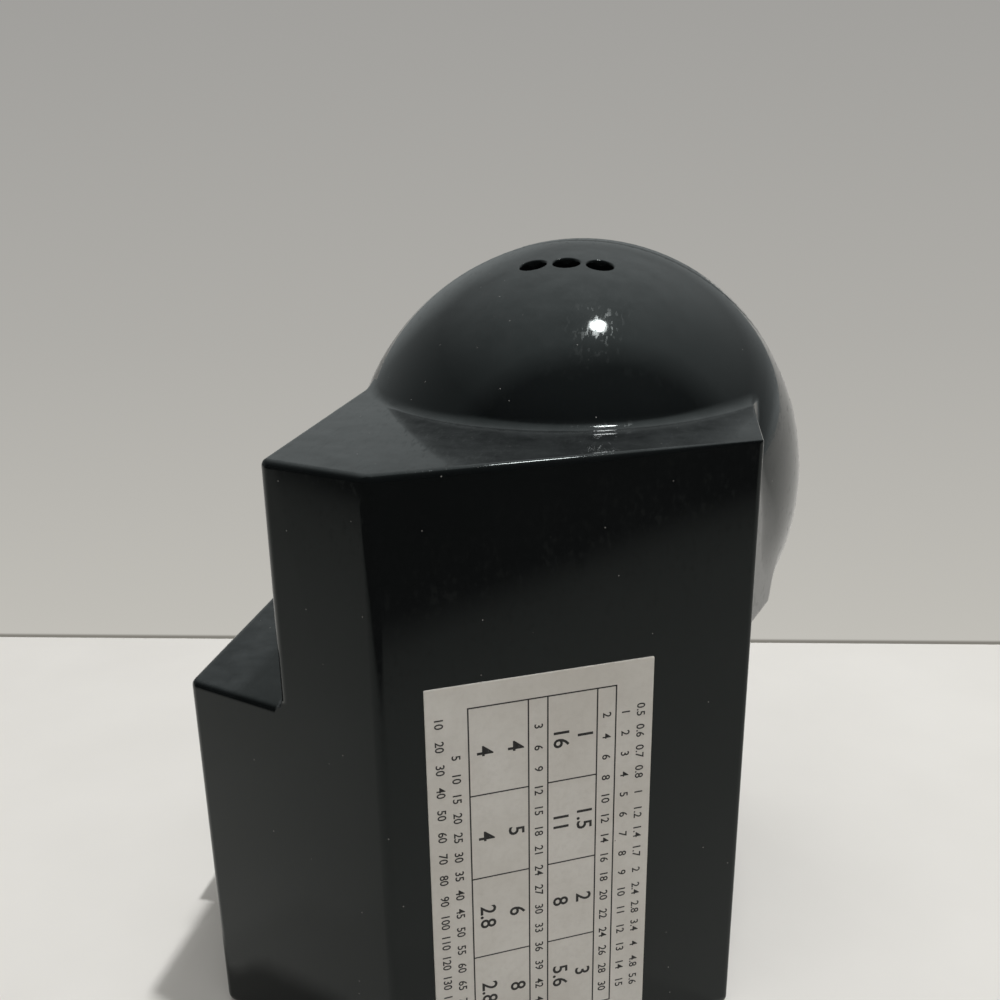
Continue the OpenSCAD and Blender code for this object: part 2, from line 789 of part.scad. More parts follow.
module lamp_base() color("#c9a24b") on_base() on_axis() {
    difference() {
        translate([0, 0, lamp_y]) cylinder(h = lamp_base_len, r = lamp_base_r);
        translate([0, 0, lamp_y - over]) cylinder(h = glass_in + over, r = globe_neck_r + screw_gap);
    }
    translate([0, 0, lamp_end]) cylinder(h = tip_h, r = tip_r);
    for (side = [0, 180])
        rotate([0, 0, side]) translate([lamp_base_r - over, 0, lamp_pin_y]) rotate([0, 90, 0])
            cylinder(h = socket_out_r + 2 * seat_gap - lamp_base_r + over, r = bayonet_pin_r);
}

// Battery door on its hinge, with the latch
module battery_door() color("#1b1e21") on_base() difference() {
    union() {
        block([opening_left + door_gap, cover_front, door_bottom], [door_right, door_back, door_top]);
        block([hinge_x, cover_front, middle_bottom], [opening_left + over, door_back, middle_top]);
        along_z(hinge_x, hinge_y, middle_bottom, middle_top, knuckle_r);
    }
    along_z(hinge_x, hinge_y, middle_bottom - over, middle_top + over, pin_r + pin_gap);
    along_y(latch_x, latch_z, cover_front - over, door_back + over, latch_shaft_r + pin_gap);
}
module hinge_pin() color("silver") on_base() along_z(hinge_x, hinge_y, hinge_bottom, hinge_top, pin_r);
module latch_knob() color("silver") on_base() {
    difference() {
        translate([latch_x, knob_back, latch_z]) rotate([90, 0, 0])
            knurled(knob_r, knob_h, knob_grips, grip_depth / 2);
        block(
            [latch_x - slot_w / 2, knob_back - knob_h - over, latch_z - knob_r - over],
            [latch_x + slot_w / 2, knob_back - knob_h + slot_depth, latch_z + knob_r + over]
        );
    }
    along_y(latch_x, latch_z, knob_back, cam_front + cam_t, latch_shaft_r);
}
module latch_cam() color("silver") on_base() difference() {
    union() {
        along_y(latch_x, latch_z, cam_front, cam_front + cam_t, latch_shaft_r + cam_hub);
        along_y(latch_x, latch_z + cam_reach - cam_w / 2, cam_front, cam_front + cam_t, cam_w / 2);
        block(
            [latch_x - cam_w / 2, cam_front, latch_z],
            [latch_x + cam_w / 2, cam_front + cam_t, latch_z + cam_reach - cam_w / 2]
        );
    }
    along_y(latch_x, latch_z, cam_front - over, cam_front + cam_t + over, latch_shaft_r + screw_gap);
}

// Battery and its contacts
module battery() color("#7d2b26") on_base()
    block([battery_left, battery_front, battery_z], [battery_right, battery_back, battery_top]);
module battery_lower_contact() color("#c9a24b") on_base() {
    from = board_front + over;
    to = battery_back - over;
    rise = battery_z - strip_t;
    path = [
        [from, board_top],
        [from + leaf_ramp, board_top],
        [to - 2 * leaf_ramp, rise],
        [to - leaf_ramp, rise]
    ];
    lifted = [for (k = [len(path) - 1:-1:0]) path[k] + [0, strip_t]];
    translate([contact_x - strip_w / 2, 0, 0]) rotate([90, 0, 90])
        linear_extrude(strip_w) polygon(concat(path, lifted));
}
module upper_strip(grow) {
    block(
        [contact_x - strip_w / 2 - grow, strip_y - grow, board_z - grow],
        [contact_x + strip_w / 2 + grow, strip_y + strip_t + grow, battery_top + strip_t]
    );
}
module battery_upper_contact() color("#c9a24b") on_base() {
    upper_strip(0);
    block(
        [contact_x - strip_w / 2, battery_back - strip_reach, battery_top],
        [contact_x + strip_w / 2, strip_y + strip_t, battery_top + strip_t]
    );
}

// Terminal board with its parts
module terminal_board() color("#6b4526") on_base() difference() {
    block([board_left, board_front, board_z], [board_right, board_back, board_top]);
    for (p = board_spots) along_z(p.x, p.y, board_z - over, board_top + over, board_screw_r + screw_gap);
    for (side = [-1, 1])
        along_z(strap_mid, capacitor_y + side * strap_hole, board_z - over, board_top + over,
            strap_screw_r + screw_gap);
    upper_strip(screw_gap);
}
module board_screws() color("silver") on_base()
    for (p = board_spots) {
        along_z(p.x, p.y, board_z - screw_depth + run_gap, board_top, board_screw_r);
        along_z(p.x, p.y, board_top, board_top + board_head_h, board_head_r);
    }
module solder_lugs() color("#c9a24b") on_base()
    for (p = lug_spots) along_z(p.x, p.y, board_top, lug_top, lug_post_r);
module capacitor() color("#8f9499") on_base()
    along_x(capacitor_y, capacitor_z, capacitor_x, capacitor_x + capacitor_len, capacitor_r);
module capacitor_strap() color("silver") on_base() difference() {
    translate([strap_x, 0, 0]) rotate([90, 0, 90]) linear_extrude(strap_w) difference() {
        union() {
            translate([capacitor_y, capacitor_z]) circle(r = strap_reach);
            translate([capacitor_y - strap_reach, board_top])
                square([2 * strap_reach, capacitor_z - board_top]);
            translate([capacitor_y - strap_reach - strap_foot, board_top])
                square([2 * (strap_reach + strap_foot), strap_t]);
        }
        translate([capacitor_y, capacitor_z]) circle(r = capacitor_r + seat_gap);
        translate([capacitor_y - capacitor_r - seat_gap, board_top - strap_reach])
            square([2 * (capacitor_r + seat_gap), capacitor_z - board_top + strap_reach]);
    }
    for (side = [-1, 1])
        along_z(strap_mid, capacitor_y + side * strap_hole, board_top - over, board_top + strap_t + over,
            strap_screw_r + screw_gap);
}
module strap_screws() color("silver") on_base()
    for (side = [-1, 1]) {
        y = capacitor_y + side * strap_hole;
        seat = board_top + strap_t;
        along_z(strap_mid, y, board_z, seat, strap_screw_r);
        along_z(strap_mid, y, seat, seat + strap_head_h, strap_head_r);
    }
module charging_resistor() color("#7a5a3a") on_base() {
    along_x(resistor_y, resistor_z, resistor_x, resistor_x + resistor_len, resistor_r);
    along_x(resistor_y, resistor_z, resistor_x - lead_len, resistor_x + resistor_len + lead_len, lead_r);
    for (x = [resistor_x - lead_len, resistor_x + resistor_len + lead_len]) {
        along_z(x, resistor_y, board_top, resistor_z, lead_r);
        translate([x, resistor_y, resistor_z]) sphere(r = lead_r);
    }
}
module wire(points) {
    last = len(points) - 1;
    rings = [for (k = [0:last]) each ring(points, k)];
    sides = [
        for (k = [0:last - 1], s = [0:wire_sides - 1])
            let (a = k * wire_sides + s, b = k * wire_sides + (s + 1) % wire_sides)
            each [[a, b, a + wire_sides], [b, b + wire_sides, a + wire_sides]]
    ];
    ends = [
        [for (s = [wire_sides - 1:-1:0]) s],
        [for (s = [0:wire_sides - 1]) last * wire_sides + s]
    ];
    polyhedron(points = rings, faces = concat(sides, ends));
}
module lead_wires() color("#a23b30") on_base() for (route = wire_routes) wire(route);

// Two-pin shutter contact
module sync_block() color("#3a2618") on_base() difference() {
    flange_w = sync_w + 2 * sync_flange;
    flange_h = sync_h + 2 * sync_flange;
    union() {
        block(
            [inner_wall, foot_back - sync_w / 2, sync_z - sync_h / 2],
            [block_side, foot_back + sync_w / 2, sync_z + sync_h / 2]
        );
        block(
            [inner_wall - sync_flange_t, foot_back - flange_w / 2, sync_z - flange_h / 2],
            [inner_wall, foot_back + flange_w / 2, sync_z + flange_h / 2]
        );
    }
    for (side = [-1, 1])
        along_x(foot_back + side * sync_pitch / 2, sync_z, sync_inner, block_side + over,
            sync_shank_r + screw_gap);
}
module sync_pins() color("#c9a24b") on_base()
    for (y = [foot_back - sync_pitch / 2, foot_back + sync_pitch / 2]) {
        along_x(y, sync_z, sync_inner, block_side, sync_shank_r);
        along_x(y, sync_z, block_side, block_side + sync_out, sync_pin_r);
    }

// Shoe foot with its lock
module foot_stud() color("silver") on_base() {
    along_x(foot_back, foot_h, stud_in, foot_x, stud_r);
    along_x(foot_back, foot_h, foot_x, foot_x + foot_t, tenon_r);
    along_x(foot_back, foot_h, block_side, stud_collar_end, stud_collar_r);
}
module stud_nut() color("silver") on_base() difference() {
    translate([inner_wall - nut_t, foot_back, foot_h]) rotate([0, 90, 0])
        cylinder(h = nut_t, r = nut_flats / (2 * cos(30)), $fn = 6);
    along_x(foot_back, foot_h, inner_wall - nut_t - over, inner_wall + over, stud_r + screw_gap);
}
module clamp_washer() color("#2a2a2a") on_base() translate([0, foot_back, foot_h]) rotate([0, 90, 0])
    tube(washer_x, washer_x + washer_t, stud_r + pin_gap, washer_r);
module lock_knob() color("silver") on_base() difference() {
    translate([lock_x, foot_back, foot_h]) rotate([0, 90, 0])
        knurled(lock_r, lock_t, lock_grips, grip_depth);
    along_x(foot_back, foot_h, lock_x - over, lock_x + lock_t + over, stud_r + pin_gap);
}
module foot_plate() color("silver") on_base() difference() {
    block(
        [foot_x, foot_back - foot_len / 2, foot_h - foot_w / 2],
        [foot_x + foot_t, foot_back + foot_len / 2, foot_h + foot_w / 2]
    );
    along_x(foot_back, foot_h, foot_x - over, foot_x + foot_t + over, tenon_r + screw_gap);
}

rear_housing();
front_cover();
cover_screws();
exposure_label();
lens_ring();
lens();
lens_clip();
reflector();
socket_collar();
lamp_socket();
socket_insulator();
socket_contact();
lamp_globe();
lamp_filament();
lamp_base();
battery_door();
hinge_pin();
latch_knob();
latch_cam();
battery();
battery_lower_contact();
battery_upper_contact();
terminal_board();
board_screws();
solder_lugs();
capacitor();
capacitor_strap();
strap_screws();
charging_resistor();
lead_wires();
sync_block();
sync_pins();
foot_stud();
stud_nut();
clamp_washer();
lock_knob();
foot_plate();
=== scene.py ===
"""Looks of a 1950s fill-in camera flash: polished black moulding, ruled label, plated ring and shoe foot."""

import json
import math

import bmesh
import bpy
import numpy as np
from mathutils import Matrix, Vector


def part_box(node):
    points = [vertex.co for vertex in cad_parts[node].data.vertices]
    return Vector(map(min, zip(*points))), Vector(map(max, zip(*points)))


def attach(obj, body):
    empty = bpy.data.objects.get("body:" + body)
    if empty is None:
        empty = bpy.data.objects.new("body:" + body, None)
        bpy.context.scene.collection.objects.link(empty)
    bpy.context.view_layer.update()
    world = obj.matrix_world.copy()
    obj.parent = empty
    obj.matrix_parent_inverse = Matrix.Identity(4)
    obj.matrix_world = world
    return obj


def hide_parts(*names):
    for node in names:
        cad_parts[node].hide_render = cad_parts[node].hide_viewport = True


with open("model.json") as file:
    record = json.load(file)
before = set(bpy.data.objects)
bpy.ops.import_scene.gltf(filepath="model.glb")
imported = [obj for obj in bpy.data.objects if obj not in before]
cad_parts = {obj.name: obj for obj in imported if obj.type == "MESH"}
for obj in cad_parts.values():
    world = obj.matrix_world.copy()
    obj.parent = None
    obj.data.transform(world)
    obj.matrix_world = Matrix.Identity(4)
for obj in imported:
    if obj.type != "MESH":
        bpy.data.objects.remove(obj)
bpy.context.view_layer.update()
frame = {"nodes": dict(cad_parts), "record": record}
NODES = frame["nodes"]

MM = 0.001
BACK = 30.0  # millimetres from the parting face back to the part's origin

# Sizes of the moulding in millimetres, with y measured back from the parting face
HOOD_R = 44.5
HOOD_DEPTH = 61.5
AXIS_H = 81.5  # height of the light's axis
TOP_H = 101.5
BLOCK_H = 63.0
PLAIN = 32.8  # reach of the plain side, towards -X
UPPER = 36.3  # reach of the side above the block, towards +X
BLOCK = 54.0  # reach of the block, towards +X
RIDGE = (19.7, 83.0)  # x and y where the two slanted rear faces meet
LABEL_SLANT = math.radians(26.2)
BATTERY_SLANT = math.radians(19.8)
BATTERY_IN = 0.5  # keeps the sharp ridge inside the CAD box
WALL = 2.4
VENT_R = 2.4
VENT_BACK = 20.4
VENT_STEP = math.radians(8.2)

# Roundings of the moulding's edges in millimetres
RIDGE_ROUND = 0.7
CORNER_ROUND = 1.3
SIDE_ROUND = 0.4  # on the plain side
TOP_ROUND = 1.1
TOP_EASE = (8.0, 24.0)  # reach to the plain side where the top edge starts to sharpen, and over what length
FOOT_ROUND = 1.4
STEP_FILLET = 0.9
RIM_ROUND = 0.5
VENT_ROUND = 0.35
HOOD_FILLET = 1.3  # where the hood meets the top
UNDER_FILLET = 0.8  # where it meets the sides
FILLET_EASE = (2.0, 8.0)  # depth under the top where the fillet starts to change, and over what height

# Web that spreads the plain side wall out to the hood, in millimetres
WEB_BACK = 47.0  # where it leaves the wall
WEB_FRONT = 18.0
WEB_FLARE = math.radians(16)
WEB_EASE = (82.0, 17.0)  # height where the flare starts to fade, and over what height
WEB_OUT = 38.7  # reach at its lower end
WEB_LEAN = 0.2  # growth of the reach with height
WEB_LOW = 66.2  # lower end at the back
WEB_FALL = 0.12  # how fast the lower end falls towards the front
WEB_ROUND = 0.8

# Window of the contact block in the battery side: its middle and half sizes along y and z in millimetres
PINS_AT = (37.0, 31.5)
PINS_HALF = (8.6, 3.6)

# Grid on which the moulding is meshed: a first line, then bands of (end, spacing), fine where edges are small
SPACING = {"wide": 0.66, "mid": 0.4, "fine": 0.24}
GRID_X = (-47, (-39.5, "wide"), (-31.5, "mid"), (-10, "wide"), (10, "fine"), (57, "wide"))
GRID_Y = (-1.3, (17.2, "wide"), (23.6, "fine"), (27.6, "wide"), (29.2, "fine"),
          (44.8, "wide"), (46.4, "fine"), (85.5, "wide"))
GRID_Z = (-1.3, (27.1, "wide"), (28.7, "fine"), (34.3, "wide"), (35.9, "fine"),
          (99.6, "wide"), (102.2, "fine"), (119.5, "wide"), (126.6, "fine"), (128, "mid"))

# Settings of the mesher, with lengths in millimetres
SAMPLE_BLOCK = 4  # grid lines in a block that is looked at as one
SAMPLE_REACH = 1.2  # a block is sampled in full within this many of its half diagonals of the surface
SAMPLE_MARGIN = 0.3  # and this much more
SAMPLE_BATCH = 200000
CORNERS = [(i, j, k) for i in (0, 1) for j in (0, 1) for k in (0, 1)]  # of a grid cell
PUSHES = 3  # times that a point is moved towards the surface
PUSH_MOST = 0.3  # furthest move at a time
SLOPE_LEAST = 0.25  # least squared slope that a move reckons with
SLOPE_STEP = 0.02
TINY = 1e-9
NORMAL_STEP = 0.005
NORMAL_MATCH = 0.75  # least agreement of the field's normal with a face's own
KEPT_FACES = 0.22  # share of the faces that is left after flat stretches are joined

# Settings for the rounded copies of CAD solids, with lengths in metres
WELD = 2e-6
FLAT_ANGLE = math.radians(0.3)
BEVEL_ANGLE = math.radians(40)
BEVEL_SEGMENTS = 3
SHARP_ANGLE = math.radians(38)


def node_tree(name):
    """A new material with its node tree and its principled shader."""
    made = bpy.data.materials.new(name)
    made.use_nodes = True
    return made, made.node_tree, made.node_tree.nodes["Principled BSDF"]


def add(tree, kind, **values):
    """A node with the given settings; sockets are set by their names with spaces as underscores."""
    made = tree.nodes.new(kind)
    for key, value in values.items():
        if hasattr(made, key):
            setattr(made, key, value)
        else:
            made.inputs[key.replace("_", " ")].default_value = value
    return made


def ramp(tree, factor, *stops):
    """A colour ramp over factor, with stops of (place, colour)."""
    made = tree.nodes.new("ShaderNodeValToRGB")
    while len(made.color_ramp.elements) < len(stops):
        made.color_ramp.elements.new(0.5)
    for element, (position, colour) in zip(made.color_ramp.elements, stops):
        element.position = position
        element.color = (*colour, 1)
    tree.links.new(factor, made.inputs["Fac"])
    return made.outputs["Color"]


def ranged(tree, value, start, end, low=0.0, high=1.0):
    """A value mapped from start and end to low and high, and held beyond them."""
    made = add(tree, "ShaderNodeMapRange", From_Min=start, From_Max=end, To_Min=low, To_Max=high)
    tree.links.new(value, made.inputs["Value"])
    return made.outputs["Result"]


def combined(tree, operation, first, second):
    """One maths step on a socket and a second socket or number."""
    made = add(tree, "ShaderNodeMath", operation=operation)
    tree.links.new(first, made.inputs[0])
    if isinstance(second, bpy.types.NodeSocket):
        tree.links.new(second, made.inputs[1])
    else:
        made.inputs[1].default_value = second
    return made.outputs[0]


def component(tree, vector, axis):
    """The X, Y or Z of a vector."""
    split = add(tree, "ShaderNodeSeparateXYZ")
    tree.links.new(vector, split.inputs["Vector"])
    return split.outputs[axis]


def dotted(tree, vector, direction):
    """How far a vector reaches along a direction."""
    made = add(tree, "ShaderNodeVectorMath", operation="DOT_PRODUCT")
    made.inputs[1].default_value = direction
    tree.links.new(vector, made.inputs[0])
    return made.outputs["Value"]


def mixed(tree, factor, first, second):
    """Colour first where factor is 0 and second where it is 1; each is a socket or a colour."""
    made = tree.nodes.new("ShaderNodeMix")
    made.data_type = "RGBA"
    tree.links.new(factor, made.inputs["Factor"])
    for name, value in zip(("A", "B"), (first, second)):
        socket = next(s for s in made.inputs if s.name == name and s.type == "RGBA")
        if isinstance(value, bpy.types.NodeSocket):
            tree.links.new(value, socket)
        else:
            socket.default_value = (*value, 1)
    return next(s for s in made.outputs if s.type == "RGBA")


def grey(value):
    """A colour without hue."""
    return (value, value, value)


def place(tree):
    """The part's own coordinates, in metres."""
    return tree.nodes.new("ShaderNodeTexCoord").outputs["Object"]


def noise(tree, where, scale, detail, rough=0.5, stretch=None):
    """Cloudy noise from 0 to 1; stretch multiplies its scale along each axis."""
    if stretch:
        turned = add(tree, "ShaderNodeMapping")
        turned.inputs["Scale"].default_value = stretch
        tree.links.new(where, turned.inputs["Vector"])
        where = turned.outputs["Vector"]
    made = add(tree, "ShaderNodeTexNoise", Scale=scale, Detail=detail, Roughness=rough)
    tree.links.new(where, made.inputs["Vector"])
    return made.outputs["Fac"]


def bump(tree, shader, height, distance, strength=1.0):
    """Small relief on a shader; distance in metres."""
    made = add(tree, "ShaderNodeBump", Strength=strength, Distance=distance)
    tree.links.new(height, made.inputs["Height"])
    tree.links.new(made.outputs["Normal"], shader.inputs["Normal"])


def specks(tree, where, cell, radius, share):
    """Small spots scattered one to a cell, kept in a share of the cells; cell and radius in metres."""
    cells = add(tree, "ShaderNodeTexVoronoi", Scale=1 / cell, Randomness=1.0)
    tree.links.new(where, cells.inputs["Vector"])
    split = add(tree, "ShaderNodeSeparateColor")
    tree.links.new(cells.outputs["Color"], split.inputs["Color"])
    kept = combined(tree, "LESS_THAN", split.outputs["Red"], share)
    near = ranged(tree, cells.outputs["Distance"], radius / cell, radius / cell * 0.5)
    return combined(tree, "MULTIPLY", kept, near)


def settled(tree, patches):
    """How much fine dust lies on a surface: more where it faces up, in patches."""
    facing = tree.nodes.new("ShaderNodeTexCoord").outputs["Normal"]
    upward = ranged(tree, component(tree, facing, "Z"), 0.72, 1.0)
    thick = ranged(tree, patches, 0.3, 0.75, low=0.1, high=0.5)
    return combined(tree, "MULTIPLY", upward, thick)


def black_moulding():
    """Polished black moulding with a film of dust on top, specks, haze and fine scratches."""
    made, tree, shader = node_tree("black_moulding")
    where = place(tree)
    cloud = noise(tree, where, 45, detail=3)
    tone = ramp(tree, cloud, (0.3, (0.0026, 0.0031, 0.0034)), (0.75, (0.0042, 0.0048, 0.0052)))
    film = settled(tree, noise(tree, where, 240, detail=5, rough=0.7))
    tone = mixed(tree, film, tone, (0.062, 0.068, 0.07))
    dust = specks(tree, where, cell=0.0023, radius=0.00013, share=0.5)
    tree.links.new(mixed(tree, dust, tone, (0.22, 0.215, 0.205)), shader.inputs["Base Color"])
    haze = noise(tree, where, 160, detail=5, rough=0.62)
    rough = ramp(tree, haze, (0.35, grey(0.05)), (0.62, grey(0.07)), (0.8, grey(0.12)))
    scratch = noise(tree, where, 1500, detail=2, stretch=(1.0, 0.2, 0.5))
    lines = ramp(tree, scratch, (0.57, grey(0.0)), (0.64, grey(1.0)))
    tree.links.new(mixed(tree, lines, rough, grey(0.2)), shader.inputs["Roughness"])
    shader.inputs["IOR"].default_value = 1.5
    shader.inputs["Specular Tint"].default_value = (0.90, 1.0, 0.98, 1)
    bump(tree, shader, noise(tree, where, 34, detail=1), distance=0.00006)
    return made


def label_card():
    """Aged card with stains, fibres and dark marks."""
    made, tree, shader = node_tree("label_card")
    where = place(tree)
    stain = noise(tree, where, 70, detail=4, rough=0.6)
    tone = ramp(tree, stain, (0.3, (0.60, 0.575, 0.53)), (0.7, (0.68, 0.66, 0.62)))
    fibre = noise(tree, where, 900, detail=3, rough=0.7)
    fine = mixed(tree, ramp(tree, fibre, (0.45, grey(0.0)), (0.8, grey(0.22))), tone, (0.46, 0.43, 0.39))
    marks = specks(tree, where, cell=0.0036, radius=0.00013, share=0.3)
    tree.links.new(mixed(tree, marks, fine, (0.16, 0.14, 0.12)), shader.inputs["Base Color"])
    tree.links.new(ramp(tree, stain, (0.3, grey(0.34)), (0.7, grey(0.5))), shader.inputs["Roughness"])
    bump(tree, shader, fibre, distance=0.00001, strength=0.6)
    return made


def ink():
    """Black print, worn pale in spots."""
    made, tree, shader = node_tree("label_ink")
    worn = noise(tree, place(tree), 1400, detail=3, rough=0.7)
    dark, mid, pale = (0.018, 0.017, 0.017), (0.035, 0.034, 0.033), (0.10, 0.095, 0.09)
    tree.links.new(ramp(tree, worn, (0.35, dark), (0.68, mid), (0.8, pale)), shader.inputs["Base Color"])
    tree.links.new(ramp(tree, worn, (0.3, grey(0.4)), (0.7, grey(0.55))), shader.inputs["Roughness"])
    return made


def metal(name, colour, rough, grain=700, stretch=None, tarnish=0.82):
    """Bare or plated metal with fine grain, and a duller tone in patches."""
    made, tree, shader = node_tree(name)
    where = place(tree)
    cloud = noise(tree, where, 120, detail=4, rough=0.6)
    dull = tuple(c * tarnish for c in colour)
    tree.links.new(ramp(tree, cloud, (0.35, dull), (0.65, colour)), shader.inputs["Base Color"])
    lines = noise(tree, where, grain, detail=3, rough=0.6, stretch=stretch)
    shine = ramp(tree, lines, (0.3, grey(rough * 0.7)), (0.75, grey(rough * 1.5)))
    tree.links.new(shine, shader.inputs["Roughness"])
    shader.inputs["Metallic"].default_value = 1.0
    bump(tree, shader, lines, distance=0.000004, strength=0.5)
    return made


def moulded(name, dark, light, rough, scale=160):
    """Board, card, ceramic or woven sleeve: two tones in fine mottle."""
    made, tree, shader = node_tree(name)
    mottle = noise(tree, place(tree), scale, detail=5, rough=0.65)
    tree.links.new(ramp(tree, mottle, (0.3, dark), (0.7, light)), shader.inputs["Base Color"])
    shine = ramp(tree, mottle, (0.3, grey(rough)), (0.7, grey(rough * 0.8)))
    tree.links.new(shine, shader.inputs["Roughness"])
    bump(tree, shader, mottle, distance=0.00003, strength=0.5)
    return made


def clear(name, tint, rough):
    """Clear glass or plastic with faint smears."""
    made, tree, shader = node_tree(name)
    smear = noise(tree, place(tree), 90, detail=4, rough=0.6)
    tree.links.new(ramp(tree, smear, (0.4, grey(rough)), (0.8, grey(rough * 4))), shader.inputs["Roughness"])
    shader.inputs["Base Color"].default_value = (*tint, 1)
    shader.inputs["Transmission Weight"].default_value = 1.0
    shader.inputs["IOR"].default_value = 1.49
    bump(tree, shader, smear, distance=0.00002, strength=0.4)
    return made


LOOKS = {
    "black_moulding": black_moulding(),
    "label_card": label_card(),
    "bright_plate": metal("bright_plate", (0.72, 0.71, 0.69), rough=0.14, grain=500),
    "plain_steel": metal("plain_steel", (0.50, 0.49, 0.47), rough=0.3, grain=900),
    "clear_lens": clear("clear_lens", (0.93, 0.95, 0.94), rough=0.02),
    "polished_bowl": metal("polished_bowl", (0.82, 0.82, 0.80), rough=0.09, grain=400, tarnish=0.92),
    "brass": metal("brass", (0.62, 0.42, 0.17), rough=0.28, tarnish=0.7),
    "lamp_glass": clear("lamp_glass", (0.95, 0.96, 0.96), rough=0.01),
    "filament_wire": metal("filament_wire", (0.40, 0.40, 0.39), rough=0.4),
    "brown_board": moulded("brown_board", (0.085, 0.040, 0.017), (0.16, 0.078, 0.034), rough=0.55),
    "battery_sleeve": moulded("battery_sleeve", (0.20, 0.030, 0.022), (0.29, 0.050, 0.036), rough=0.6),
    "capacitor_can": metal("capacitor_can", (0.60, 0.60, 0.61), rough=0.32, grain=600, stretch=(8, 1, 1)),
    "resistor_body": moulded("resistor_body", (0.22, 0.14, 0.075), (0.34, 0.23, 0.13), rough=0.4),
    "wire_sleeve": moulded("wire_sleeve", (0.17, 0.022, 0.016), (0.31, 0.050, 0.035), rough=0.75, scale=1500),
}
INK = ink()


def dress(piece, look):
    """Gives a piece one material."""
    piece.data.materials.clear()
    piece.data.materials.append(look)


for entry in frame["record"]["subparts"]:
    dress(NODES[entry["node"]], LOOKS[entry["material_slot"]])


def body_of(node):
    """The body that carries a node."""
    return next(b for b, members in frame["record"]["behaviour"]["bodies"].items() if node in members)


def slot_of(node):
    """The finish of a node."""
    return next(s["material_slot"] for s in frame["record"]["subparts"] if s["node"] == node)


def settle(piece, body, slot, *replaced):
    """Rides a new piece on its body and hides the solids that it stands for; slot is not used."""
    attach(piece, body)
    if replaced:
        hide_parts(*replaced)


def new_piece(name, mesh, look):
    """A mesh as an object of the scene."""
    piece = bpy.data.objects.new(name, mesh)
    bpy.context.scene.collection.objects.link(piece)
    dress(piece, look)
    return piece


def bake(piece):
    """Replaces a piece's mesh by what its modifiers make of it."""
    seen = piece.evaluated_get(bpy.context.evaluated_depsgraph_get())
    made = bpy.data.meshes.new_from_object(seen)
    piece.modifiers.clear()
    old = piece.data
    piece.data = made
    bpy.data.meshes.remove(old)


# The moulding as a distance field in millimetres, so that its outer edges and blends are round


def round_max(a, b, r):
    """Both a and b, with their outer edge rounded."""
    return np.minimum(np.maximum(a, b), -r) + np.hypot(np.maximum(a + r, 0), np.maximum(b + r, 0))


def round_min(a, b, r):
    """Either a or b, with their inner edge filled."""
    return np.maximum(np.minimum(a, b), r) - np.hypot(np.maximum(r - a, 0), np.maximum(r - b, 0))


def eased(t):
    """From 0 to 1 without a kink."""
    t = np.clip(t, 0, 1)
    return t * t * (3 - 2 * t)


def ellipsoid(x, y, z, r, depth):
    """Nearly the distance to an ellipsoid round the y axis."""
    k0 = np.sqrt((x / r) ** 2 + (y / depth) ** 2 + (z / r) ** 2)
    k1 = np.sqrt((x / r**2) ** 2 + (y / depth**2) ** 2 + (z / r**2) ** 2)
    return k0 * (k0 - 1) / np.maximum(k1, TINY)


def slants(x, y):
    """Distances to the plain side and to the two rear faces."""
    dx, dy = x - RIDGE[0], y - RIDGE[1]
    label = -dx * math.sin(LABEL_SLANT) + dy * math.cos(LABEL_SLANT)
    battery = dx * math.sin(BATTERY_SLANT) + dy * math.cos(BATTERY_SLANT) + BATTERY_IN
    return -x - PLAIN, label, battery


def prism(x, y, z):
    """The prism and its side block, with the step between them filled."""
    side, label, battery = slants(x, y)
    plan = round_max(round_max(label, battery, RIDGE_ROUND), side, SIDE_ROUND)
    top_round = TOP_ROUND + (SIDE_ROUND - TOP_ROUND) * eased((-x - TOP_EASE[0]) / TOP_EASE[1])
    upper = round_max(round_max(plan, x - UPPER, CORNER_ROUND), z - TOP_H, top_round)
    lower = round_max(round_max(plan, x - BLOCK, CORNER_ROUND), z - BLOCK_H, TOP_ROUND)
    step = round_min(x - UPPER, z - BLOCK_H, STEP_FILLET)
    step = np.maximum.reduce([step, plan, x - UPPER - STEP_FILLET, z - BLOCK_H - STEP_FILLET])
    return np.minimum.reduce([upper, lower, step])


def web(x, y, z):
    """The web between the plain side and the hood."""
    flare = WEB_FLARE * (1 - eased((z - WEB_EASE[0]) / WEB_EASE[1]))
    made = -(x + PLAIN) * np.cos(flare) + (y - WEB_BACK) * np.sin(flare)
    made = round_max(made, -x - WEB_OUT - WEB_LEAN * (z - WEB_LOW), WEB_ROUND)
    made = round_max(made, WEB_LOW - WEB_FALL * (WEB_BACK - y) - z, WEB_ROUND)
    return np.maximum.reduce([made, x, z - TOP_H + TOP_ROUND, y - WEB_BACK, WEB_FRONT - y])


def vent(k, x, y, z):
    """The bore of the vent that is k steps from the top of the hood."""
    across = x * math.cos(k * VENT_STEP) - (z - AXIS_H) * math.sin(k * VENT_STEP)
    bore = np.hypot(across, y - VENT_BACK) - VENT_R
    return np.maximum(bore, AXIS_H + HOOD_R / 2 - z)


def pin_window(x, y, z):
    """The opening for the contact block."""
    window = np.maximum(np.abs(y - PINS_AT[0]) - PINS_HALF[0], np.abs(z - PINS_AT[1]) - PINS_HALF[1])
    return np.maximum(window, UPPER - x)


def cavity(x, y, z):
    """The space inside the walls."""
    inner = np.maximum.reduce(slants(x, y)) + WALL
    room = np.minimum.reduce([
        np.maximum.reduce([inner, x - UPPER + WALL, z - TOP_H + WALL]),
        np.maximum.reduce([inner, x - BLOCK + WALL, z - BLOCK_H + WALL]),
    ])
    room = np.maximum(room, WALL - z)
    return np.minimum(room, ellipsoid(x, y, z - AXIS_H, HOOD_R - WALL, HOOD_DEPTH - WALL))


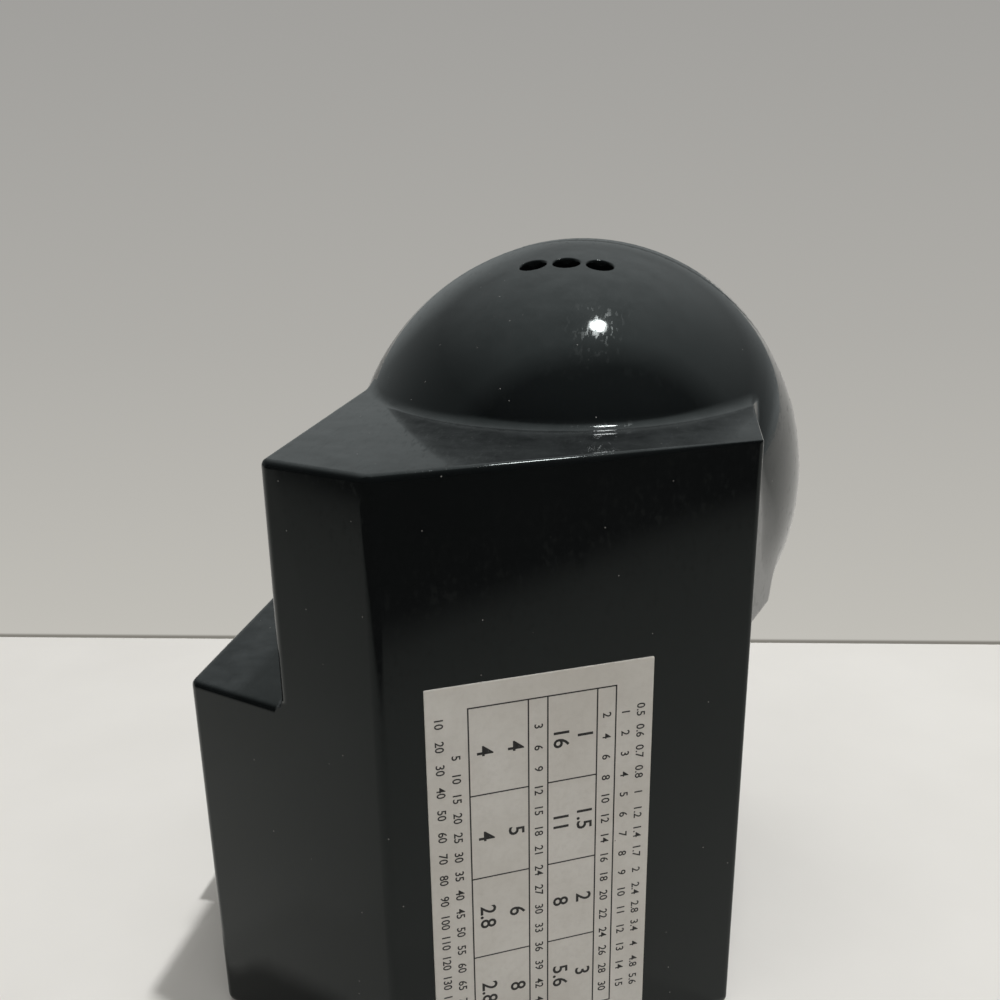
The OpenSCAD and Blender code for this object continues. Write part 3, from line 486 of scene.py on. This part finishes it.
def moulding(points):
    """Distance to the rear moulding's surface, negative in its walls."""
    x, y, z = points[..., 0], points[..., 1], points[..., 2]
    body = round_max(np.minimum(prism(x, y, z), web(x, y, z)), -z, FOOT_ROUND)
    hood = ellipsoid(x, y, z - AXIS_H, HOOD_R, HOOD_DEPTH)
    under = eased((TOP_H - FILLET_EASE[0] - z) / FILLET_EASE[1])
    solid = round_min(body, hood, HOOD_FILLET + (UNDER_FILLET - HOOD_FILLET) * under)
    solid = round_max(solid, -y, RIM_ROUND)
    for k in (-1, 0, 1):
        solid = round_max(solid, -vent(k, x, y, z), VENT_ROUND)
    solid = round_max(solid, -pin_window(x, y, z), VENT_ROUND)
    return np.maximum(solid, -cavity(x, y, z))


def gradient(field, points, step):
    """Slopes of a field at points, along the three axes."""
    made = np.empty_like(points)
    for axis in range(3):
        shift = np.zeros(3)
        shift[axis] = step
        made[:, axis] = (field(points + shift) - field(points - shift)) / (2 * step)
    return made


def sampled(field, axes):
    """The field on a grid; away from the surface a whole block takes the value of its middle."""
    starts = [np.arange(0, len(a), SAMPLE_BLOCK) for a in axes]
    ends = [np.minimum(b + SAMPLE_BLOCK, len(a) - 1) for b, a in zip(starts, axes)]
    middles = [(a[b] + a[e]) / 2 for a, b, e in zip(axes, starts, ends)]
    halves = [(a[e] - a[b]) / 2 for a, b, e in zip(axes, starts, ends)]
    value = field(np.stack(np.meshgrid(*middles, indexing="ij"), -1))
    reach = np.sqrt(sum(h**2 for h in np.meshgrid(*halves, indexing="ij")))
    near = np.abs(value) < reach * SAMPLE_REACH + SAMPLE_MARGIN
    for axis, a in enumerate(axes):
        value = np.repeat(value, SAMPLE_BLOCK, axis).take(np.arange(len(a)), axis)
        near = np.repeat(near, SAMPLE_BLOCK, axis).take(np.arange(len(a)), axis)
    spots = np.argwhere(near)
    for part in np.array_split(spots, max(1, len(spots) // SAMPLE_BATCH)):
        points = np.stack([a[part[:, k]] for k, a in enumerate(axes)], -1)
        value[tuple(part.T)] = field(points)
    return value


def cell_points(field, axes, value, active):
    """One point in each active cell, set on the field's zero surface."""
    at = {c: value[tuple((active + c).T)] for c in CORNERS}
    total, hits = np.zeros((len(active), 3)), np.zeros(len(active))
    for a in CORNERS:
        for axis in range(3):
            if a[axis]:
                continue
            b = tuple(1 if k == axis else a[k] for k in range(3))
            crossing = (at[a] < 0) != (at[b] < 0)
            t = np.where(crossing, at[a] / np.where(crossing, at[a] - at[b], 1), 0)
            total += np.where(crossing[:, None], np.array(a, float) + np.outer(t, np.array(b, float) - a), 0)
            hits += crossing
    low = np.stack([a[active[:, k]] for k, a in enumerate(axes)], -1)
    span = np.stack([a[active[:, k] + 1] for k, a in enumerate(axes)], -1) - low
    points = low + total / hits[:, None] * span
    for _ in range(PUSHES):
        slope = gradient(field, points, SLOPE_STEP)
        push = field(points) / np.maximum((slope**2).sum(1), SLOPE_LEAST)
        points -= np.clip(push, -PUSH_MOST, PUSH_MOST)[:, None] * slope
    return points


def polygonise(field, axes):
    """Points and quads of the field's zero surface, one point to a grid cell that it passes through."""
    value = sampled(field, axes)
    inside = value < 0
    size = [len(a) - 1 for a in axes]
    count = np.zeros(size, dtype=np.int8)
    for i, j, k in CORNERS:
        count += inside[i:i + size[0], j:j + size[1], k:k + size[2]]
    active = np.argwhere((count > 0) & (count < len(CORNERS)))
    index = np.full(size, -1, dtype=np.int64)
    index[tuple(active.T)] = np.arange(len(active))
    quads = []
    for axis in range(3):
        u, v = [k for k in range(3) if k != axis]
        first = np.moveaxis(inside, axis, 0)
        spots = np.argwhere(np.moveaxis(first[:-1] != first[1:], 0, axis))
        across, along = spots[:, u], spots[:, v]
        spots = spots[(across > 0) & (along > 0) & (across < size[u]) & (along < size[v])]
        ring = []
        for du, dv in ((-1, -1), (0, -1), (0, 0), (-1, 0)):
            cell = spots.copy()
            cell[:, u] += du
            cell[:, v] += dv
            ring.append(index[tuple(cell.T)])
        ring = np.stack(ring, 1)
        flip = inside[tuple(spots.T)] == (axis == 1)
        ring[flip] = ring[flip][:, ::-1]
        quads.append(ring)
    return cell_points(field, axes, value, active), np.concatenate(quads)


def stepped(spacing, start, *bands):
    """Grid lines from start over bands of (end, name of the spacing)."""
    lines = []
    for end, name in bands:
        lines.append(np.linspace(start, end, max(2, round((end - start) / spacing[name]) + 1))[:-1])
        start = end
    return np.append(np.concatenate(lines), start)


def to_frame(points):
    """From the moulding's own millimetres to the part's frame in metres."""
    return (np.asarray(points, float) - [0, BACK, 0]) * MM


def bend_normals(mesh):
    """Takes the mesh's normals from the field, apart from corners where a face leans away from it."""
    where = np.empty(len(mesh.vertices) * 3)
    mesh.vertices.foreach_get("co", where)
    where = where.reshape(-1, 3) / MM + [0, BACK, 0]
    slope = gradient(moulding, where, NORMAL_STEP)
    slope /= np.maximum(np.linalg.norm(slope, axis=1), TINY)[:, None]
    mesh.shade_smooth()
    normals = np.empty((len(mesh.loops), 3))
    for polygon in mesh.polygons:
        span = slice(polygon.loop_start, polygon.loop_start + polygon.loop_total)
        bent = slope[list(polygon.vertices)]
        flat = np.array(polygon.normal)
        normals[span] = np.where((bent @ flat > NORMAL_MATCH)[:, None], bent, flat)
    mesh.normals_split_custom_set(normals.tolist())


def make_housing():
    """The rear moulding with its rounded edges, in place of the solid."""
    spacing = SPACING
    points, quads = polygonise(moulding, [stepped(spacing, *grid) for grid in (GRID_X, GRID_Y, GRID_Z)])
    mesh = bpy.data.meshes.new("housing_shell")
    mesh.from_pydata(to_frame(points).tolist(), [], quads.tolist())
    mesh.update()
    piece = new_piece("housing_shell", mesh, LOOKS["black_moulding"])
    fewer = piece.modifiers.new("fewer", "DECIMATE")
    fewer.ratio = KEPT_FACES
    bake(piece)
    bend_normals(piece.data)
    settle(piece, "housing", "black_moulding", "rear_housing")


def boxes(items):
    """One mesh of boxes, each given by its centre, its size and its turn about Y in degrees."""
    work = bmesh.new()
    for centre, size, turn in items:
        turned = Matrix.Translation(centre) @ Matrix.Rotation(math.radians(turn), 4, "Y")
        bmesh.ops.create_cube(work, size=1, matrix=turned @ Matrix.Diagonal((*size, 1)))
    mesh = bpy.data.meshes.new("boxes")
    work.to_mesh(mesh)
    work.free()
    return mesh


def softened(node, width, cuts=()):
    """The solid's own shape with its sharp edges rounded, and any slots cut in it; width in metres."""
    mesh = NODES[node].data.copy()
    mesh.name = node + "_rounded"
    work = bmesh.new()
    work.from_mesh(mesh)
    bmesh.ops.remove_doubles(work, verts=work.verts, dist=WELD)
    bmesh.ops.dissolve_limit(work, angle_limit=FLAT_ANGLE, verts=work.verts, edges=work.edges)
    work.to_mesh(mesh)
    work.free()
    piece = new_piece(node + "_rounded", mesh, LOOKS[slot_of(node)])
    if cuts:
        tool = new_piece("slot_tool", boxes(cuts), LOOKS["plain_steel"])
        cut = piece.modifiers.new("cut", "BOOLEAN")
        cut.operation = "DIFFERENCE"
        cut.object = tool
        bake(piece)
        bpy.data.objects.remove(tool)
    edge = piece.modifiers.new("edge", "BEVEL")
    edge.width = width
    edge.segments = BEVEL_SEGMENTS
    edge.limit_method = "ANGLE"
    edge.angle_limit = BEVEL_ANGLE
    edge.use_clamp_overlap = True
    bake(piece)
    for polygon in piece.data.polygons:
        polygon.use_smooth = True
    piece.data.set_sharp_from_angle(angle=SHARP_ANGLE)
    settle(piece, body_of(node), slot_of(node), node)


# The ruled label in millimetres: a card on the wide rear face, with plain numbers and scales in print
LABEL_X = (13.3, -18.3)
LABEL_U = [(RIDGE[0] - x) / math.cos(LABEL_SLANT) for x in LABEL_X]  # along the face, from the ridge
LABEL_Z = (4.0, 69.6)
LABEL_T = 0.25
CARD_W = LABEL_Z[1] - LABEL_Z[0]
CARD_H = LABEL_U[1] - LABEL_U[0]
CARD_CORNER = 0.15
CARD_EDGE = 0.06
CARD_SEGMENTS = 2

# The print, with x along its lines and y up them
INK_T = 0.008
INK_AT = LABEL_T + 0.006
INK_SPREAD = 0.018  # widening of a figure's strokes as a share of its height
FIGURE_SHARE = 0.72  # height of a figure as a share of the font's size
RULE_W = 0.22
CHART_X = (3.8, 18.4, 33.0, 47.6, 62.0)  # uprights of the ruled chart
CHART_Y = (6.3, 15.4, 18.4, 26.2, 29.2)  # lines of the ruled chart
LARGE, SMALL = 2.5, 1.35  # heights of the figures
CHART_ROWS = (  # height and figures
    (24.2, ("1", "1.5", "2", "3")),
    (20.4, ("16", "11", "8", "5.6")),
    (13.3, ("4", "5", "6", "8")),
    (8.6, ("4", "4", "2.8", "2.8")),
)
TOP_SCALE = "0.5 0.6 0.7 0.8 1 1.2 1.4 1.7 2 2.4 2.8 3.4 4 4.8 5.6".split()
SCALES = (  # height, first place, step and figures
    (33.2, 8.5, 3.6, TOP_SCALE),
    (30.75, 8.5, 3.6, range(1, 16)),
    (27.7, 8.5, 3.6, range(2, 31, 2)),
    (16.9, 8.5, 3.6, range(3, 46, 3)),
    (4.3, 11.5, 3.4, range(5, 76, 5)),
    (1.9, 5.5, 3.8, range(10, 151, 10)),
)


def label_matrix():
    """From the card's own millimetres, with x along the lines of print and y up them, to the part's frame."""
    c, s = math.cos(LABEL_SLANT), math.sin(LABEL_SLANT)
    origin = Vector((RIDGE[0] - c * LABEL_U[0], RIDGE[1] - s * LABEL_U[0] - BACK, LABEL_Z[1]))
    turn = Matrix(((0, -c, -s, 0), (0, -s, c, 0), (-1, 0, 0, 0), (0, 0, 0, 1)))
    return Matrix.Scale(MM, 4) @ Matrix.Translation(origin) @ turn


def on_label(work, name):
    """A mesh on the card, finished and brought to the part's frame."""
    work.transform(label_matrix())
    mesh = bpy.data.meshes.new(name)
    work.to_mesh(mesh)
    work.free()
    return mesh


def make_label():
    """The card with its small corner and edge roundings, in place of the solid."""
    work = bmesh.new()
    middle = Matrix.Translation((CARD_W / 2, CARD_H / 2, LABEL_T / 2))
    bmesh.ops.create_cube(work, size=1, matrix=middle @ Matrix.Diagonal((CARD_W, CARD_H, LABEL_T, 1)))
    bevel = {"segments": CARD_SEGMENTS, "affect": "EDGES", "profile": 0.5}
    upright = [e for e in work.edges if abs((e.verts[0].co - e.verts[1].co).z) > LABEL_T / 2]
    bmesh.ops.bevel(work, geom=upright, offset=CARD_CORNER, **bevel)
    rim = [e for e in work.edges if all(v.co.z > LABEL_T / 2 for v in e.verts)]
    bmesh.ops.bevel(work, geom=rim, offset=CARD_EDGE, **bevel)
    piece = new_piece("label_plate", on_label(work, "label_plate"), LOOKS["label_card"])
    settle(piece, "housing", "label_card", "exposure_label")


def printed(text, x, y, size):
    """Plain numbers as flat print; x, y are on the card and size is the height of the figures."""
    curve = bpy.data.curves.new("print", "FONT")
    curve.body = text
    curve.size = size / FIGURE_SHARE
    curve.extrude = INK_T / 2
    curve.offset = INK_SPREAD * size
    curve.resolution_u = 3
    curve.align_x = "CENTER"
    curve.align_y = "CENTER"
    made = bpy.data.objects.new("print", curve)
    bpy.context.scene.collection.objects.link(made)
    bpy.context.view_layer.update()
    mesh = bpy.data.meshes.new_from_object(made.evaluated_get(bpy.context.evaluated_depsgraph_get()))
    bpy.data.objects.remove(made)
    bpy.data.curves.remove(curve)
    mesh.transform(Matrix.Translation((x, y, INK_AT)))
    return mesh


def chart_rules():
    """Ends of the chart's ruled lines; two of its bands have no uprights inside."""
    left, *inner, right = CHART_X
    low, first, second, third, high = CHART_Y
    rules = [(left, y, right, y) for y in CHART_Y]
    rules.append((left, low, left, high))
    for x in inner:
        rules.append((x, low, x, first))
        rules.append((x, second, x, third))
    rules.append((right, low, right, high))
    return rules


def make_print():
    """The chart's rules and figures and the six scales, on the card."""
    work = bmesh.new()
    for x0, y0, x1, y1 in chart_rules():
        size = (x1 - x0 + RULE_W, y1 - y0 + RULE_W, INK_T, 1)
        middle = Matrix.Translation(((x0 + x1) / 2, (y0 + y1) / 2, INK_AT))
        bmesh.ops.create_cube(work, size=1, matrix=middle @ Matrix.Diagonal(size))
    columns = [(a + b) / 2 for a, b in zip(CHART_X, CHART_X[1:])]
    for y, figures in CHART_ROWS:
        for x, figure in zip(columns, figures):
            work.from_mesh(printed(figure, x, y, LARGE))
    for k in range(len(TOP_SCALE)):
        for y, start, step, figures in SCALES:
            work.from_mesh(printed(str(figures[k]), start + step * k, y, SMALL))
    settle(new_piece("label_print", on_label(work, "label_print"), INK), "housing", "label_card")


# Cover screws: one's reach, its slot and its rounding in metres, and the slots' turns in degrees
SCREW_REACH = 0.006
SCREW_SLOT = (0.006, 0.0012, 0.0007)
SLOT_TURN, SLOT_TURN_STEP = 25, 67
SCREW_EDGE = 0.0002


def make_screws():
    """The cover screws with a slot across each head."""
    low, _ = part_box("cover_screws")
    screws = []
    for vertex in NODES["cover_screws"].data.vertices:
        spot = (vertex.co.x, vertex.co.z)
        screw = next((s for s in screws if math.dist(spot, s[0]) < SCREW_REACH), None)
        if screw is None:
            screws.append([spot])
        else:
            screw.append(spot)
    cuts = []
    for k, spots in enumerate(screws):
        middle = np.mean([np.min(spots, 0), np.max(spots, 0)], 0)
        cuts.append(((middle[0], low.y, middle[1]), SCREW_SLOT, SLOT_TURN + SLOT_TURN_STEP * k))
    softened("cover_screws", SCREW_EDGE, cuts)


# Roundings of the other solids that show their edges, in metres
EDGES = {
    "front_cover": 0.0005,
    "battery_door": 0.0004,
    "lens_ring": 0.0004,
    "foot_plate": 0.0003,
    "foot_stud": 0.0003,
    "clamp_washer": 0.0002,
    "lock_knob": 0.0002,
    "latch_knob": 0.0002,
    "sync_pins": 0.0003,
    "sync_block": 0.0002,
    "hinge_pin": 0.0002,
}

make_housing()
make_label()
make_print()
make_screws()
for node, width in EDGES.items():
    softened(node, width)

# Stage in metres: a pale table that runs to a pale wall
TABLE_REACH = 4
WALL_AT = Vector((0.0334, -0.1092, 0))
WALL_ALONG = Vector((1, 0.127, 0)).normalized()
WALL_REACH = 3
WALL_UP = Vector((0, 0, 2))
WALL_BOUNCE_FADE = 0.19  # height over which the wall's painted bounce light from the table fades


def stage_plane(name, corners, look):
    """A flat piece of the stage."""
    mesh = bpy.data.meshes.new(name)
    mesh.from_pydata([tuple(c) for c in corners], [], [tuple(range(len(corners)))])
    piece = new_piece(name, mesh, look)
    return piece


def table_look():
    """Pale laminate; polished surfaces see painted shade on it behind the part, and a painted glow far off on
    the plain side.
    """
    made, tree, shader = node_tree("table_top")
    where = place(tree)
    cloud = noise(tree, where, 30, detail=4)
    tone = ramp(tree, cloud, (0.3, (0.80, 0.785, 0.75)), (0.7, (0.83, 0.815, 0.78)))
    # Reflections alone see painted shade here: the laminate is mixed towards near black, more so towards +Y.
    glossy = add(tree, "ShaderNodeLightPath").outputs["Is Glossy Ray"]
    slant = ranged(tree, component(tree, where, "X"), 0.0, 0.12, high=0.05)
    behind = combined(tree, "SUBTRACT", component(tree, where, "Y"), slant)
    dim = ramp(tree, ranged(tree, behind, 0.0, 0.25), (0.0, grey(0.25)), (0.25, grey(0.45)),
               (0.6, grey(0.58)), (0.7, grey(0.68)), (0.8, grey(0.95)))
    shade = combined(tree, "MULTIPLY", glossy, dim)
    tree.links.new(mixed(tree, shade, tone, grey(0.02)), shader.inputs["Base Color"])
    shader.inputs["Roughness"].default_value = 0.55
    # Painted glow: reflections alone see the table emit light, more of it far off towards -X and -Y.
    far = ranged(tree, dotted(tree, where, (-1.0, -1.0, 0.0)), 0.5, 2.0, high=0.25)
    shader.inputs["Emission Color"].default_value = (1.0, 0.98, 0.94, 1.0)
    tree.links.new(combined(tree, "MULTIPLY", glossy, far), shader.inputs["Emission Strength"])
    return made


def wall_look():
    """A pale wall seen from its front side alone, with painted bounce light from the table that makes it
    lighter low down, and painted shade in a thin line where it meets the table.
    """
    made, tree, shader = node_tree("wall")
    tree.nodes.remove(shader)
    # Painted bounce light from the table: the wall is lighter low down and darker higher up.
    height = ranged(tree, component(tree, place(tree), "Z"), 0.0, WALL_BOUNCE_FADE)
    # Painted shade: the darkest tone is the thin shaded line where the wall meets the table.
    gap_shade, low = (0.22, 0.21, 0.185), (0.53, 0.515, 0.475)
    mid, high = (0.425, 0.415, 0.39), (0.352, 0.345, 0.33)
    tone = ramp(tree, height, (0.0, gap_shade), (0.0045, gap_shade), (0.0075, low), (0.5, mid), (1.0, high))
    glow = add(tree, "ShaderNodeEmission", Strength=1.0)
    tree.links.new(tone, glow.inputs["Color"])
    see_through = add(tree, "ShaderNodeBsdfTransparent")
    side = add(tree, "ShaderNodeNewGeometry")
    blend = add(tree, "ShaderNodeMixShader")
    tree.links.new(side.outputs["Backfacing"], blend.inputs["Fac"])
    tree.links.new(glow.outputs["Emission"], blend.inputs[1])
    tree.links.new(see_through.outputs["BSDF"], blend.inputs[2])
    tree.links.new(blend.outputs["Shader"], tree.nodes["Material Output"].inputs["Surface"])
    return made


signs = ((-1, -1), (1, -1), (1, 1), (-1, 1))
stage_plane("table", [(sx * TABLE_REACH, sy * TABLE_REACH, 0) for sx, sy in signs], table_look())
start, end = WALL_AT - WALL_ALONG * WALL_REACH, WALL_AT + WALL_ALONG * WALL_REACH
wall = stage_plane("wall", [start, start + WALL_UP, end + WALL_UP, end], wall_look())
wall.visible_shadow = False
wall.visible_diffuse = False
wall.visible_transmission = False
wall.visible_glossy = False

# Directions of the lamp that glints in the hood, of the lamp that casts the shadow and of a soft ceiling
GLINT = (-0.159, -0.314, 0.936)
OVERHEAD = (-0.183, 0.022, 0.983)
CEILING = (0.1, 0.1, 1.0)

# Directions of what polished surfaces see: the lit wall, the unlit side of the room and a pale patch low down
LIT_WALL = (0.398, -0.896, 0.199)
UNLIT_SIDE = (-0.33, 0.944, 0.0)
LOW_PATCH = (-0.55, -0.62, -0.56)


def room_light():
    """Even light on dull surfaces; polished ones see a lit wall, a low patch, a glow and an unlit side."""
    world = bpy.data.worlds.new("room")
    world.use_nodes = True
    tree = world.node_tree
    where = tree.nodes.new("ShaderNodeTexCoord").outputs["Generated"]

    def along(direction, *stops):
        """A value for how nearly a ray runs along a direction, with stops of (cosine, value)."""
        half = ranged(tree, dotted(tree, where, direction), -1.0, 1.0)
        return ramp(tree, half, *[(cosine / 2 + 0.5, grey(value)) for cosine, value in stops])

    lit = along(LIT_WALL, (0.5, 0.17), (0.8, 0.2), (0.965, 0.2), (0.99, 0.285), (1.0, 0.315))
    glow = along(GLINT, (0.55, 0.0), (0.8, 0.2), (1.0, 0.36))
    side = along(UNLIT_SIDE, (-0.17, 1.0), (0.08, 0.28))
    low = along(LOW_PATCH, (0.76, 0.0), (0.80, 0.06), (0.82, 0.2))
    bright = combined(tree, "ADD", combined(tree, "ADD", lit, low), glow)
    seen = combined(tree, "MULTIPLY", bright, side)
    tint = add(tree, "ShaderNodeVectorMath", operation="SCALE")
    tint.inputs[0].default_value = (0.93, 1.0, 1.0)
    tree.links.new(seen, tint.inputs["Scale"])
    glossy = add(tree, "ShaderNodeLightPath").outputs["Is Glossy Ray"]
    tone = mixed(tree, glossy, (0.36, 0.353, 0.34), tint.outputs["Vector"])
    tree.links.new(tone, tree.nodes["Background"].inputs["Color"])
    bpy.context.scene.world = world


def lamp(name, towards, distance, power, size):
    """A round lamp that shines at the hood from the given direction; metres and watts."""
    light = bpy.data.lights.new(name, "AREA")
    light.energy = power
    light.shape = "DISK"
    light.size = size
    made = bpy.data.objects.new(name, light)
    bpy.context.scene.collection.objects.link(made)
    target = Vector((0, 0, AXIS_H * MM))
    made.location = target + Vector(towards).normalized() * distance
    made.rotation_euler = (target - made.location).to_track_quat("-Z", "Y").to_euler()
    return made


room_light()
lamp("glint_lamp", GLINT, distance=1.0, power=1.1, size=0.1)
overhead = lamp("overhead_lamp", OVERHEAD, distance=1.1, power=6.6, size=0.05)
overhead.visible_glossy = False
ceiling = lamp("soft_ceiling", CEILING, distance=1.1, power=1.3, size=1.2)
ceiling.visible_glossy = False

# Camera at the photograph's viewpoint, in metres, with its lens in millimetres
CAMERA_AT = (-0.01984, 0.17234, 0.13809)
YAW = math.radians(10.09)
PITCH = math.radians(17.79)
ROLL = math.radians(-0.82)
SENSOR_WIDTH = 36.0
FOCAL_LENGTH = 36.29
CLIP_START = 0.01


def make_camera():
    """The camera, turned by its yaw, pitch and roll."""
    ahead = Vector((math.sin(YAW) * math.cos(PITCH), -math.cos(YAW) * math.cos(PITCH), -math.sin(PITCH)))
    level = Vector((-math.cos(YAW), -math.sin(YAW), 0))
    upright = level.cross(ahead)
    right = level * math.cos(ROLL) + upright * math.sin(ROLL)
    up = upright * math.cos(ROLL) - level * math.sin(ROLL)
    lens = bpy.data.cameras.new("camera")
    lens.sensor_fit = "HORIZONTAL"
    lens.sensor_width = SENSOR_WIDTH
    lens.lens = FOCAL_LENGTH
    lens.clip_start = CLIP_START
    camera = bpy.data.objects.new("camera", lens)
    bpy.context.scene.collection.objects.link(camera)
    turn = Matrix((right, up, -ahead)).transposed()
    camera.matrix_world = Matrix.Translation(CAMERA_AT) @ turn.to_4x4()
    bpy.context.scene.camera = camera


make_camera()
bpy.context.scene.view_settings.view_transform = "Standard"
